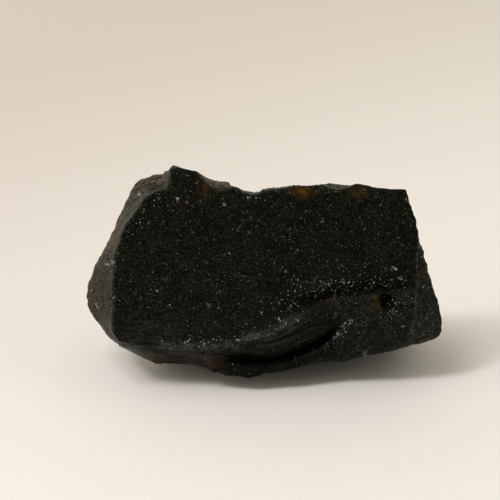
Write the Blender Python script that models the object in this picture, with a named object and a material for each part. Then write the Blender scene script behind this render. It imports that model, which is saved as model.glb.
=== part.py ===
"""Tektite: one broken block of natural black glass, 55 mm wide, resting on its own feet.

Metres, +Z up. +X runs to the right along the broad face, which looks towards -Y and leans back.
The origin is on the floor under the middle of the stone.

The block is described in the frame of its broad face, in millimetres: u to the right along the
face, v up the face and d out of it. Its surface is where a field is zero, and the field is the
largest of what each bounding surface says: the front, the outline seen square to the face, the
broken planes and scoops of the back, and the underside. A fine cube is blown out from the heart of
the block until it meets that surface, gets the relief of the front, and is thinned to facets.
"""

import bpy
import numpy as np

# ---- Driving dimensions, in millimetres and degrees ----
NAME = "tektite"
MM = 0.001
FACE_LEAN = np.radians(24.0)  # the broad face leans back this far from upright
FOOTPRINT = (-0.1, 10.9)  # middle of the stone's footprint, moved to the origin
HEART = (0.0, 15.5, -7.0)  # (u, v, d) from which the whole surface can be seen
REACH = (27.0, 16.0, 11.0)  # half sizes along u, v and d, which spread the grid evenly
FAR = 46.0  # no point of the stone is further from its heart
GRID_CUTS = 89  # cuts across each side of the cube
FACETS = 9400  # triangles of the thinned solid
EDGE_ROUND = 0.25  # how softly two surfaces meet
FLAT_FOOT = 0.08  # what is this near to the floor rests on it

# ---- The outline seen square to the broad face, clockwise from the left tip: (u, v) ----
LEFT_FLANK = (
    (-27.9, 12.7), (-27.7, 13.9), (-26.8, 16.7), (-26.2, 18.1), (-24.9, 20.2), (-23.5, 22.6),
    (-22.8, 25.0), (-21.6, 26.8), (-20.9, 28.6), (-20.2, 30.3),
)
BROKEN_LEDGE = ((-18.7, 31.0), (-17.4, 31.6), (-15.7, 31.6))
PEAK = ((-14.6, 32.5), (-14.3, 33.0), (-12.5, 32.5), (-10.8, 32.1), (-9.7, 31.5), (-8.6, 30.8))
TOP_EDGE = (
    (-7.0, 30.4), (-5.5, 30.3), (-5.1, 29.6), (-3.8, 29.1), (-1.3, 28.9), (0.2, 29.4),
    (3.3, 29.9), (5.8, 29.7), (8.8, 29.9), (10.1, 30.3), (12.2, 30.1), (13.1, 29.8),
    (14.5, 30.2), (16.0, 29.9), (17.0, 29.4), (19.8, 29.3), (21.8, 29.4),
)
RIGHT_FLANK = (
    (22.1, 29.0), (23.0, 25.6), (23.9, 21.8), (25.1, 18.1), (26.0, 15.2), (26.9, 12.5),
    (27.5, 9.8), (27.7, 7.9), (27.5, 6.6), (26.8, 5.9),
)
RAISED_FOOT = (
    (25.0, 5.3), (22.5, 5.0), (20.2, 4.6), (17.9, 3.9), (15.7, 3.4), (13.6, 3.0),
    (12.2, 2.4), (11.2, 2.7), (9.8, 2.9), (7.0, 2.2),
)
FRONT_FOOT = (
    (4.0, 1.3), (0.9, 0.6), (-1.0, 0.2), (-3.0, 0.0), (-6.0, 0.2), (-7.0, 0.8), (-8.2, 0.7),
    (-9.5, 1.9), (-11.2, 2.2), (-14.3, 2.1), (-17.0, 2.1), (-17.7, 2.6), (-20.5, 4.0),
    (-22.5, 4.9), (-24.3, 6.6), (-26.2, 8.9), (-27.4, 10.7),
)
OUTLINE = LEFT_FLANK + BROKEN_LEDGE + PEAK + TOP_EDGE + RIGHT_FLANK + RAISED_FOOT + FRONT_FOOT
OUTLINE_HUB = (0.0, 16.0)  # the outline goes once round this point


def by_height(points):
    """Outline points as (v, u) rows that rise with v."""
    return tuple(sorted((v, u) for u, v in points))


LEFT_OUTLINE = by_height(FRONT_FOOT[-6:] + LEFT_FLANK + BROKEN_LEDGE[:2])
RIGHT_OUTLINE = by_height(RAISED_FOOT[:4] + RIGHT_FLANK)
LOWER_OUTLINE = tuple(sorted(RAISED_FOOT + FRONT_FOOT))

# ---- The broad face and what bounds it ----
FACE_DEPTH = 3.2  # d of the broad face at half height
FACE_TILT = 0.06  # how much it comes forward for each mm downward
FACE_DISH = 0.35  # it is hollowed by this much
FRONT_SHARE = 0.7  # turns a difference in d into about the distance from the sloping facets
LEFT_RIDGE = (  # left edge of the broad face, bottom to top: (v, u)
    (4.0, -21.0), (5.7, -22.4), (7.4, -23.6), (10.8, -23.4), (15.2, -23.5), (18.0, -23.2),
    (19.8, -22.9), (21.7, -22.2), (23.9, -21.3), (26.3, -19.3), (27.6, -18.4), (29.1, -15.0),
    (33.0, -14.2),
)
LEFT_BACK = ((4.0, -4.0), (16.0, -5.0), (22.0, -2.8), (27.0, -2.0), (30.0, -2.5))  # (v, d) at the outline
RIGHT_RIDGE = (  # right edge of the broad face, bottom to top: (v, u)
    (4.0, 22.6), (7.4, 22.7), (12.1, 23.2), (14.4, 23.6), (18.0, 23.4), (21.6, 23.7),
    (25.6, 23.1), (29.2, 22.1),
)
RIGHT_BACK = (  # (v, d) at the outline
    (5.0, -0.6), (8.0, 0.0), (12.0, 1.0), (18.0, 1.8), (25.0, 1.7), (30.0, 1.5),
)
TOP_RIDGE = (  # top edge of the broad face where rough strips show behind it: (u, v)
    (-11.0, 32.4), (-9.6, 31.0), (-8.4, 29.7), (-7.0, 29.2), (-5.2, 29.3), (-4.6, 29.7), (-3.4, 28.7),
    (-2.2, 28.2), (-1.0, 28.4), (0.2, 29.3), (1.4, 29.0), (3.5, 29.3), (4.7, 30.0), (8.6, 30.0),
    (9.4, 29.4), (11.5, 29.0), (13.2, 29.5), (14.0, 30.4), (22.0, 30.0),
)
STRIP_FALL = 2.2  # the strips go this far back for each mm upward
FOLD = (  # where the front turns under towards the foot: (u, v)
    (-24.0, 6.0), (-17.7, 5.6), (-13.9, 5.1), (-10.0, 4.8), (-5.6, 5.1), (-3.8, 5.7),
    (-1.9, 6.6), (0.2, 7.0), (2.9, 7.6), (8.3, 8.2), (20.0, 8.5), (26.0, 9.5),
)
FOLD_BACK = (  # how far it goes back from the fold to the outline: (u, d)
    (-24.0, 6.0), (-20.0, 5.0), (-12.0, 4.5), (-8.0, 2.6), (-1.0, 1.7), (4.0, 1.9),
    (8.0, 2.4), (12.0, 3.6), (17.0, 2.6), (24.0, 3.2),
)
FOLD_POWER = 1.5  # 1 is a straight slope under the fold, more is rounder

# ---- The hidden sides: behind the rim the walls draw in by this much for each mm ----
DRAW_IN = ((-180.0, 0.3), (-130.0, 0.1), (-90.0, 0.0), (-50.0, 0.0), (-25.0, 0.1), (0.0, 0.3),
           (30.0, 0.3), (50.0, 0.45), (130.0, 0.45), (150.0, 0.3), (180.0, 0.3))  # (degrees, mm per mm)
EASE_BEHIND = 1.2  # the chips of the outline fade out over this depth behind the rim
EASE_TURNS = 14  # half degrees to each side of which the eased wall takes the mean, twice
BREAKS = (  # broken faces: a point of each, its outward direction in X, Y, Z, and how round it is hollowed
    ((2.0, 17.2, 16.0), (0.05, 0.90, 0.43), 45.0),
    ((0.0, 22.2, 5.0), (0.05, 0.99, -0.12), 80.0),
    ((-22.5, 15.5, 16.0), (-0.70, 0.68, 0.20), 90.0),
    ((-22.2, 8.0, 3.0), (-0.62, 0.35, -0.70), 60.0),
    ((22.3, 16.5, 11.0), (0.80, 0.58, 0.15), 30.0),
    ((22.0, 8.0, 1.2), (0.50, -0.10, -0.86), 60.0),
    ((14.8, 19.2, 13.0), (0.46, 0.84, 0.28), 22.0),
    ((-13.7, 19.4, 20.2), (-0.42, 0.78, 0.46), 24.0),
    ((-12.0, 21.2, 7.0), (-0.38, 0.92, 0.05), 17.0),
    ((6.0, 14.6, 22.8), (0.12, 0.80, 0.58), 16.0),
)
BREAK_ROUND = 0.5  # how softly the broken faces meet
FLOOR = -1.5  # Z of the floor below the origin of the face frame
CLEARANCE = 2.2  # the edges of the underside are this far above the floor
BELLY = (12.0, 15.0, 6.0, 1.3)  # middle Y, half length, half width and drop of the belly between them
FEET = ((-5.0, 6.2, 3.0), (12.0, 12.0, 2.6), (-9.5, 17.0, 2.8), (12.0, 17.8, 2.6))  # X, Y and radius
FOOT_DROP = 2.4  # each foot reaches this far below the rest of the underside

# ---- Relief of the front, in millimetres: (u, v) paths, heights and depths ----
GROOVE = (
    (23.4, 14.6), (21.5, 14.4), (17.9, 14.2), (14.0, 13.8), (10.9, 13.5), (8.3, 12.8),
    (5.5, 11.9), (3.2, 10.8),
)
LIP = (
    (-22.4, 5.7), (-17.7, 5.6), (-13.9, 5.1), (-10.0, 4.8), (-5.6, 5.1), (-3.8, 5.7),
    (-1.9, 6.6), (0.2, 7.0), (2.9, 8.2), (5.5, 9.8), (8.3, 11.3),
)
HOLLOW = (
    (-8.0, 3.4), (-5.7, 3.1), (-1.6, 2.6), (2.1, 2.8), (5.8, 4.0), (8.3, 5.1), (10.1, 6.4),
    (11.2, 7.6), (11.9, 9.4), (12.2, 11.2),
)
CREST_HEIGHT = 0.3  # the edge above the groove stands out by this much
LEDGE_DROP = 1.6  # the ledge under the groove lies this much deeper
DROP_WIDTH = 1.4  # over which the drop takes place
LIP_HEIGHT = 0.55  # the rolled lip stands out by this much
HOLLOW_DEPTH = 2.2  # under the lip
HOLLOW_REACH = (1.0, 0.55)  # how far the hollow reaches above and below its path
SHELF = (-15.2, 29.3, 1.5)  # left of this u and above this v a broken shelf lies this much deeper
PIT = (18.9, 11.9)
PIT_RADIUS = 1.25
PIT_DEPTH = 1.6


def table(values, key):
    """Straight-line reading of a short table of (key, value) rows."""
    keys, results = np.array(values).T
    return np.interp(key, keys, results)


def to_world(u, v, d):
    """The face frame's u, v, d as X, Y, Z: the face is turned back about X by its lean."""
    return u, v * np.sin(FACE_LEAN) - d * np.cos(FACE_LEAN), v * np.cos(FACE_LEAN) + d * np.sin(FACE_LEAN)


def larger(a, b, softness=EDGE_ROUND):
    """The larger of two fields, with the crease between them rounded off."""
    share = np.clip(0.5 + 0.5 * (a - b) / softness, 0.0, 1.0)
    return b + (a - b) * share + softness * share * (1.0 - share)


def smooth_step(low, high, value):
    """0 below low, 1 above high and an S-curve between."""
    t = np.clip((value - low) / (high - low), 0.0, 1.0)
    return t * t * (3.0 - 2.0 * t)


def lattice_noise(points, spacing, seed):
    """Smooth noise from -1 to 1: a hashed value at each lattice corner, blended by S-curves."""
    place = points / spacing
    corner = np.floor(place).astype(np.int64)
    part = place - corner
    part = part * part * (3.0 - 2.0 * part)
    total = np.zeros(len(points))
    for step in np.ndindex(2, 2, 2):
        cell = corner + np.array(step)
        code = (cell[:, 0] * 73856093) ^ (cell[:, 1] * 19349663) ^ (cell[:, 2] * 83492791)
        code = ((code ^ (seed * 2654435761)) * 1103515245 + 12345) & 0x7FFFFFFF
        code = (((code >> 13) ^ code) * 1597334677) & 0x7FFFFFFF
        weight = np.prod(np.where(np.array(step) == 1, part, 1.0 - part), axis=1)
        total += weight * (code / float(0x3FFFFFFF) - 1.0)
    return total


def front_surface(u, v):
    """Depth d of the front at (u, v): the broad face, and the facets that fall away from its edges."""
    dish = np.exp(-(((u + 2.0) / 16.0) ** 2) - ((v - 19.0) / 8.0) ** 2)
    face = FACE_DEPTH + FACE_TILT * (15.5 - v) - FACE_DISH * dish
    left_outline = table(LEFT_OUTLINE, v)
    left_width = np.maximum(table(LEFT_RIDGE, v) - left_outline, 0.3)
    left = face + (table(LEFT_BACK, v) - face) * (table(LEFT_RIDGE, v) - u) / left_width
    right_width = np.maximum(table(RIGHT_OUTLINE, v) - table(RIGHT_RIDGE, v), 0.3)
    right = face + (table(RIGHT_BACK, v) - face) * (u - table(RIGHT_RIDGE, v)) / right_width
    strip = face - STRIP_FALL * (v - table(TOP_RIDGE, u))
    fold = table(FOLD, u)
    under = np.maximum(fold - v, 0.0) / np.maximum(fold - table(LOWER_OUTLINE, u), 0.5)
    turned = face - table(FOLD_BACK, u) * under**FOLD_POWER
    depth = -larger(-left, -right)
    depth = -larger(-depth, -strip)
    return -larger(-depth, -turned)


def rim_tables():
    """The rim against the angle about the outline's hub: the outline's radius and the depth of the front
    there, and both again eased, as means over the neighbouring angles."""
    loop = np.array(OUTLINE + OUTLINE[:1])
    fractions = np.linspace(0.0, 1.0, 12, endpoint=False)[:, None]
    dense = np.concatenate([a + (b - a) * fractions for a, b in zip(loop[:-1], loop[1:])])
    arm_u, arm_v = (dense - np.array(OUTLINE_HUB)).T
    angle = np.radians(np.arange(-180.0, 180.0, 0.5))
    radius = np.interp(angle, np.arctan2(arm_v, arm_u), np.hypot(arm_u, arm_v), period=2.0 * np.pi)
    depth = front_surface(OUTLINE_HUB[0] + radius * np.cos(angle), OUTLINE_HUB[1] + radius * np.sin(angle))
    eased = [radius, depth]
    for _ in range(2):
        turns = range(-EASE_TURNS, EASE_TURNS + 1)
        eased = [np.mean([np.roll(values, turn) for turn in turns], axis=0) for values in eased]
    return angle, radius, depth, eased[0], eased[1]


RIM_ANGLE, RIM_RADIUS, RIM_DEPTH, EASED_RADIUS, EASED_DEPTH = rim_tables()


def wall_radius(angle, d):
    """How far the side wall stands from the axis through the hub, at an angle and a depth: the outline
    itself at the rim, and an eased outline that draws in behind it."""

    def read(values):
        return np.interp(angle, RIM_ANGLE, values, period=2.0 * np.pi)

    near_rim = np.exp(-np.maximum(read(RIM_DEPTH) - d, 0.0) / EASE_BEHIND)
    behind = np.maximum(read(EASED_DEPTH) - d, 0.0)
    drawn_in = read(EASED_RADIUS) - table(DRAW_IN, np.degrees(angle)) * behind
    return drawn_in + (read(RIM_RADIUS) - drawn_in) * near_rim


def stone_field(u, v, d):
    """Millimetres outside the stone at (u, v, d): the largest of what its bounding surfaces say."""
    x, y, z = to_world(u, v, d)
    arm_u, arm_v = u - OUTLINE_HUB[0], v - OUTLINE_HUB[1]
    wall = np.hypot(arm_u, arm_v) - wall_radius(np.arctan2(arm_v, arm_u), d)
    field = larger(FRONT_SHARE * (d - front_surface(u, v)), wall)
    for point, outward, hollow in BREAKS:
        centre = np.array(point) + hollow * np.array(outward) / np.linalg.norm(outward)
        away = np.sqrt((x - centre[0]) ** 2 + (y - centre[1]) ** 2 + (z - centre[2]) ** 2)
        field = larger(field, hollow - away, BREAK_ROUND)
    return larger(field, underside(x, y) - z)


def underside(x, y):
    """Z of the underside: a long belly and level waves, with feet that reach down to the floor."""
    middle, half_length, half_width, drop = BELLY
    belly = drop * np.exp(-((x / half_length) ** 2) - ((y - middle) / half_width) ** 2)
    height = FLOOR + CLEARANCE - belly + 0.25 * np.sin(0.45 * x + 1.0) * np.cos(0.6 * y)
    for foot_x, foot_y, radius in FEET:
        height = height - FOOT_DROP * np.exp(-((x - foot_x) ** 2 + (y - foot_y) ** 2) / radius**2)
    return np.maximum(height, FLOOR)


def blow_out(directions):
    """Distance from the heart to the surface along each direction: walk out to the first point that is
    outside the stone, then halve the last step until it is a thousandth of a micrometre."""
    heart = np.array(HEART)

    def outside(reach):
        u, v, d = (heart + directions * reach[:, None]).T
        return stone_field(u, v, d) > 0.0

    near = np.zeros(len(directions))
    far = np.full(len(directions), FAR)
    open_rays = np.ones(len(directions), bool)
    for reach in np.arange(1.0, FAR, 1.0):
        met = outside(np.full(len(directions), reach)) & open_rays
        far[met] = reach
        open_rays &= ~met
        near[open_rays] = reach
    for _ in range(20):
        middle = 0.5 * (near + far)
        met = outside(middle)
        far = np.where(met, middle, far)
        near = np.where(met, near, middle)
    return near


def along_path(u, v, path):
    """For each (u, v): how far it is left of a smooth path, and how far along it, from 0 to 1."""
    knots = np.array(path)
    before = np.concatenate([2.0 * knots[:1] - knots[1:2], knots, 2.0 * knots[-1:] - knots[-2:-1]])
    steps = np.linspace(0.0, 1.0, 4, endpoint=False)[:, None]
    pieces = []
    for a, b, c, e in zip(before[:-3], before[1:-2], before[2:-1], before[3:]):
        bend = (2.0 * a - 5.0 * b + 4.0 * c - e) * steps**2 + (3.0 * b - a - 3.0 * c + e) * steps**3
        pieces.append(0.5 * (2.0 * b + (c - a) * steps + bend))
    curve = np.concatenate(pieces + [knots[-1:]])
    span = curve[1:] - curve[:-1]
    length = np.linalg.norm(span, axis=1)
    start = np.concatenate([[0.0], np.cumsum(length)])
    nearest = np.full(len(u), np.inf)
    side = np.zeros(len(u))
    along = np.zeros(len(u))
    for index, (corner, run) in enumerate(zip(curve[:-1], span)):
        off_u, off_v = u - corner[0], v - corner[1]
        t = np.clip((off_u * run[0] + off_v * run[1]) / length[index] ** 2, 0.0, 1.0)
        distance = np.hypot(off_u - t * run[0], off_v - t * run[1])
        closer = distance < nearest
        nearest = np.where(closer, distance, nearest)
        left = np.where(run[0] * off_v - run[1] * off_u >= 0.0, 1.0, -1.0)
        side = np.where(closer, left * distance, side)
        along = np.where(closer, (start[index] + t * length[index]) / start[-1], along)
    return side, along


def front_relief(u, v):
    """How far the front stands out of its plain facets at (u, v): the groove across its lower right,
    the rolled lip, the hollow under it, the broken shelf beside the peak, and the pit."""
    side, along = along_path(u, v, GROOVE)  # runs to the left, so its left-hand side is below it
    fade = smooth_step(0.0, 0.25, along) * smooth_step(1.0, 0.75, along)
    drop = smooth_step(-0.5 * DROP_WIDTH, 0.5 * DROP_WIDTH, side)
    crest = CREST_HEIGHT * np.exp(np.minimum(side, 0.0) / 1.6)
    ledge = -LEDGE_DROP * np.exp(-np.maximum(side, 0.0) / 2.8)
    relief = fade * (crest + (ledge - crest) * drop)

    side, along = along_path(u, v, LIP)  # runs to the right, so its left-hand side is above it
    fade = smooth_step(0.0, 0.15, along) * smooth_step(1.0, 0.85, along)
    relief += fade * LIP_HEIGHT * np.where(side > 0.0, np.exp(-side / 1.2), np.exp(side / 1.0))

    side, along = along_path(u, v, HOLLOW)  # runs to the right, so its left-hand side is above it
    fade = smooth_step(0.0, 0.2, along) * smooth_step(1.0, 0.7, along)
    reach = np.where(side > 0.0, HOLLOW_REACH[0], HOLLOW_REACH[1])
    relief -= fade * HOLLOW_DEPTH * np.exp(-((np.abs(side) / reach) ** 1.3))

    shelf_u, shelf_v, shelf_depth = SHELF
    relief -= shelf_depth * smooth_step(0.5, -0.5, u - shelf_u) * smooth_step(-0.5, 0.5, v - shelf_v)

    off_u, off_v = u - PIT[0], v - PIT[1]
    turn = np.arctan2(off_v, off_u)
    ragged = 1.0 + 0.10 * np.sin(3.0 * turn + 1.0) + 0.07 * np.sin(7.0 * turn + 0.5)
    radius = PIT_RADIUS * ragged * np.where(off_u > 0.0, 1.0 + 0.5 * np.cos(turn) ** 2, 1.0)
    steep = np.where(off_u > 0.0, 0.75 - 0.75 * np.cos(turn) ** 2, 0.75)
    relief -= PIT_DEPTH * smooth_step(radius, steep * radius, np.hypot(off_u, off_v))
    return relief


def stone_points(directions):
    """X, Y, Z in millimetres of the surface along each direction from the heart."""
    u, v, d = (np.array(HEART) + directions * blow_out(directions)[:, None]).T
    on_floor = to_world(u, v, d)[2] < FLOOR + FLAT_FOOT
    facing = smooth_step(3.5, 1.0, front_surface(u, v) - d)
    d = d + facing * front_relief(u, v)
    points = np.stack(to_world(u, v, d), axis=1)
    lumps = 0.22 * lattice_noise(points, 6.5, 3) + 0.12 * lattice_noise(points, 2.6, 5)
    outward = np.stack(to_world(*directions.T), axis=1)
    points += outward * (lumps * ~on_floor)[:, None]
    points[:, 2] = np.where(on_floor, 0.0, np.maximum(points[:, 2] - FLOOR, 0.0))
    points[:, :2] -= FOOTPRINT
    return points


def cube_directions(corners):
    """Unit directions in the face frame for points on a cube of half size 1, spread evenly over the block."""
    spread = np.tan(corners * np.pi / 4.0) * np.array(REACH)
    return spread / np.linalg.norm(spread, axis=1, keepdims=True)


def black_glass():
    """Near-black, slightly frosted natural glass."""
    material = bpy.data.materials.new("black_glass")
    material.use_nodes = True
    shader = material.node_tree.nodes["Principled BSDF"]
    shader.inputs["Base Color"].default_value = (0.012, 0.012, 0.009, 1.0)
    shader.inputs["Roughness"].default_value = 0.35
    shader.inputs["Metallic"].default_value = 0.0
    return material


def read_points(mesh):
    """A mesh's vertex places as rows."""
    flat = np.empty(len(mesh.vertices) * 3, np.float32)
    mesh.vertices.foreach_get("co", flat)
    return flat.reshape(-1, 3).astype(float)


def build_tektite(collection):
    """The block as one solid: a cut-up cube, blown out to the stone's surface and thinned."""
    bpy.ops.mesh.primitive_cube_add(size=2.0)
    stone = bpy.context.object
    stone.name = NAME
    stone.data.name = NAME
    bpy.ops.object.mode_set(mode="EDIT")
    bpy.ops.mesh.subdivide(number_cuts=GRID_CUTS)
    bpy.ops.object.mode_set(mode="OBJECT")
    points = stone_points(cube_directions(read_points(stone.data)))
    stone.data.vertices.foreach_set("co", (np.round(points, 3) * MM).ravel())

    thin = stone.modifiers.new("facets", "DECIMATE")
    thin.ratio = FACETS / (12.0 * (GRID_CUTS + 1) ** 2)
    facets = bpy.data.meshes.new_from_object(stone.evaluated_get(bpy.context.evaluated_depsgraph_get()))
    stone.modifiers.remove(thin)
    stone.data = facets
    points = read_points(facets)
    points[:, 2] = np.where(points[:, 2] < FLAT_FOOT * MM, 0.0, points[:, 2])
    facets.vertices.foreach_set("co", points.ravel())
    facets.update()
    facets.materials.clear()
    facets.materials.append(black_glass())

    for owner in stone.users_collection:
        owner.objects.unlink(stone)
    collection.objects.link(stone)
    return stone


def main():
    for left_over in list(bpy.data.objects):
        bpy.data.objects.remove(left_over, do_unlink=True)
    collection = bpy.data.collections.new(NAME)
    bpy.context.scene.collection.children.link(collection)
    build_tektite(collection)


main()
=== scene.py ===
"""Tektite: a broken block of natural black glass, 55 mm wide, on a pale studio floor.

The block is one closed surface. Its shape is given in the frame of its broad face, in millimetres:
u to the right along the face, v up the face and d out of it. The skin of a box with evenly cut sides
is blown out from the heart of the block until it meets the zero of a field, which is the largest of
what the bounding surfaces say, and then gets its relief.
"""

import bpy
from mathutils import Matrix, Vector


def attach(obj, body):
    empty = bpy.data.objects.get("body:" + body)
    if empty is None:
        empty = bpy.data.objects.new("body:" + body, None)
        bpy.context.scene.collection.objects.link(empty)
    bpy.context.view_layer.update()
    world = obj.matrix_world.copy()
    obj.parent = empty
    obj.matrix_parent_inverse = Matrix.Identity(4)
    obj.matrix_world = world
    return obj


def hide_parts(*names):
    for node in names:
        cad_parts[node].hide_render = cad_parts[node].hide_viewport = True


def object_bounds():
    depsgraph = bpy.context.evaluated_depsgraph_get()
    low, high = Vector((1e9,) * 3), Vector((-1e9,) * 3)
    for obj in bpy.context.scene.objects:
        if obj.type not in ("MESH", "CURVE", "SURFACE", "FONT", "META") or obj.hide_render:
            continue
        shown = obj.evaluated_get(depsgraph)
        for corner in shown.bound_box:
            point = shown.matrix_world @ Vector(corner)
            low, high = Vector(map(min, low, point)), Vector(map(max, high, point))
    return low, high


bl_info = {
    "name": "Tektite",
    "version": (1, 0, 0),
    "blender": (4, 5, 0),
    "location": "3D View > Sidebar > Tektite",
    "description": "Builds a broken block of natural black glass and a plain studio for it",
    "category": "Add Mesh",
}

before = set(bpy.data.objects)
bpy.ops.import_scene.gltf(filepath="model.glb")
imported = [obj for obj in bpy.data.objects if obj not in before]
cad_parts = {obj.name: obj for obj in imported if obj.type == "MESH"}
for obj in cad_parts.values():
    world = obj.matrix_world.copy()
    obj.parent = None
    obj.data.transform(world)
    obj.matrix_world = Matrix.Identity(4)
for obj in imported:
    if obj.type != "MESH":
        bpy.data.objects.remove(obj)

import bpy
import numpy as np
from mathutils import Vector

CAD_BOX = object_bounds()
NODE = "tektite"
BODY = "root"
MM = 0.001

# ---- Place of the block, in millimetres and degrees ----
FACE_LEAN = np.radians(24.0)  # the broad face leans back this far from upright
LEAN_SINE, LEAN_COSINE = np.sin(FACE_LEAN), np.cos(FACE_LEAN)
FOOTPRINT = (-0.1, 10.9)  # middle of the footprint, moved to the origin
HEART = (0.0, 15.5, -7.0)  # (u, v, d) from which the whole surface can be seen
REACH = (27.0, 16.0, 11.0)  # half sizes along u, v and d, which spread the grid evenly
NEAR, FAR = 4.0, 46.0  # the surface lies between these distances from the heart
EDGE_ROUND = 0.22  # how softly two surfaces meet
FLAT_FOOT = 0.08  # what is this near to the floor rests on it

# ---- The outline seen square to the broad face, clockwise from the left tip: (u, v) ----
LEFT_FLANK = (
    (-28.0, 12.5), (-27.8, 13.9), (-26.9, 16.7), (-26.2, 18.1), (-24.9, 20.2), (-23.5, 22.6),
    (-22.8, 25.0), (-21.6, 26.8), (-20.9, 28.6), (-20.2, 30.3),
)
BROKEN_LEDGE = ((-18.7, 31.0), (-17.4, 31.6), (-15.7, 31.6))
PEAK = ((-14.6, 32.5), (-14.3, 33.0), (-12.5, 32.5), (-10.8, 32.1), (-9.7, 31.5), (-8.6, 30.8))
TOP_EDGE = (
    (-7.0, 30.4), (-5.5, 30.3), (-5.1, 29.6), (-3.8, 29.1), (-1.3, 28.9), (0.2, 29.4),
    (3.3, 29.9), (5.8, 29.7), (8.8, 29.9), (10.1, 30.3), (12.2, 30.1), (13.1, 29.8),
    (14.5, 30.2), (16.0, 29.9), (17.0, 29.4), (19.8, 29.3), (21.8, 29.4),
)
RIGHT_FLANK = (
    (22.1, 29.0), (23.0, 25.6), (23.9, 21.8), (24.9, 18.1), (25.8, 15.2), (26.8, 12.5),
    (27.5, 9.8), (27.7, 7.9), (27.5, 6.6), (26.8, 5.9),
)
RAISED_FOOT = (
    (25.0, 5.3), (22.5, 5.0), (20.2, 4.6), (17.9, 3.9), (15.7, 3.4), (13.6, 3.0),
    (12.2, 2.4), (11.2, 2.7), (9.8, 2.9), (7.0, 2.2),
)
FRONT_FOOT = (
    (4.0, 1.3), (0.9, 0.6), (-1.0, 0.2), (-3.0, 0.0), (-6.0, 0.2), (-7.0, 0.8), (-8.2, 0.7),
    (-9.5, 1.9), (-11.2, 2.2), (-14.3, 2.1), (-17.0, 2.1), (-17.7, 2.6), (-20.5, 3.9),
    (-22.7, 4.8), (-24.7, 6.4), (-26.6, 8.7), (-27.8, 10.6),
)
OUTLINE = LEFT_FLANK + BROKEN_LEDGE + PEAK + TOP_EDGE + RIGHT_FLANK + RAISED_FOOT + FRONT_FOOT
OUTLINE_HUB = (0.0, 16.0)  # the outline goes once round this point


def by_height(points):
    """Outline points as (v, u) rows that rise with v."""
    return tuple(sorted((v, u) for u, v in points))


LEFT_OUTLINE = by_height(FRONT_FOOT[-6:] + LEFT_FLANK + BROKEN_LEDGE[:2])
RIGHT_OUTLINE = by_height(RAISED_FOOT[:4] + RIGHT_FLANK)
LOWER_OUTLINE = tuple(sorted(RAISED_FOOT + FRONT_FOOT))

# ---- The broad face and what bounds it ----
FACE_DEPTH = 3.2  # d of the broad face at half height
FACE_MIDDLE = 15.5  # v of half height
FACE_TILT = 0.06  # how much it comes forward for each mm downward
DISH = (-2.0, 19.0, 16.0, 8.0, 0.35)  # hollow of the broad face: u, v, half width, half height, depth
FRONT_SHARE = 0.7  # turns a difference in d into about the distance from the sloping facets
LEAST_FACET, LEAST_FOLD = 0.3, 0.5  # a facet is at least this wide and a fold this high
LEFT_RIDGE = (  # left edge of the broad face, bottom to top: (v, u)
    (4.0, -21.0), (5.7, -22.4), (7.4, -23.6), (10.8, -23.4), (15.2, -23.5), (18.0, -23.2),
    (19.8, -22.9), (21.7, -22.2), (23.9, -21.3), (26.3, -19.3), (27.6, -18.6), (28.1, -18.1),
    (28.7, -16.8), (29.2, -15.2), (33.0, -14.2),
)
LEFT_BACK = ((4.0, -4.0), (16.0, -5.0), (22.0, -2.8), (27.0, -2.0), (30.0, -2.5))  # (v, d) at the outline
RIGHT_RIDGE = (  # right edge of the broad face, bottom to top: (v, u)
    (4.0, 22.6), (7.4, 22.7), (12.1, 23.2), (14.4, 23.6), (18.0, 23.4), (21.6, 23.7),
    (25.6, 23.1), (29.2, 22.1),
)
RIGHT_BACK = (  # (v, d) at the outline
    (5.0, -0.6), (8.0, 0.0), (12.0, 1.0), (18.0, 1.8), (25.0, 1.7), (30.0, 1.5),
)
TOP_RIDGE = (  # top edge of the broad face where rough strips show behind it: (u, v)
    (-11.0, 32.4), (-9.6, 31.0), (-8.4, 29.7), (-7.0, 29.2), (-5.2, 29.3), (-4.6, 29.7), (-3.4, 28.7),
    (-2.2, 28.2), (-1.0, 28.4), (0.2, 29.3), (1.4, 29.0), (3.5, 29.3), (4.7, 30.0), (8.6, 30.0),
    (9.4, 29.4), (11.5, 29.0), (13.2, 29.5), (14.0, 30.4), (22.0, 30.0),
)
STRIP_FALL = 2.2  # the strips go this far back for each mm upward
FACE_FOOT = (  # lower edge of the broad face, which the fold and the lip share: (u, v)
    (-17.7, 5.6), (-13.9, 5.1), (-10.0, 4.8), (-5.6, 5.1), (-3.8, 5.7), (-1.9, 6.6), (0.2, 7.0),
)
FOLD = (  # where the front turns under towards the foot: (u, v)
    (-24.0, 6.0), *FACE_FOOT, (2.9, 7.6), (8.3, 8.2), (20.0, 8.5), (26.0, 9.5),
)
FOLD_BACK = (  # how far it goes back from the fold to the outline: (u, d)
    (-24.0, 6.0), (-20.0, 5.0), (-12.0, 4.5), (-8.0, 2.6), (-1.0, 1.7), (4.0, 1.9),
    (8.0, 2.4), (12.0, 3.6), (17.0, 2.6), (24.0, 3.2),
)
FOLD_POWER = 1.5  # 1 is a straight slope under the fold, more is rounder

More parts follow.
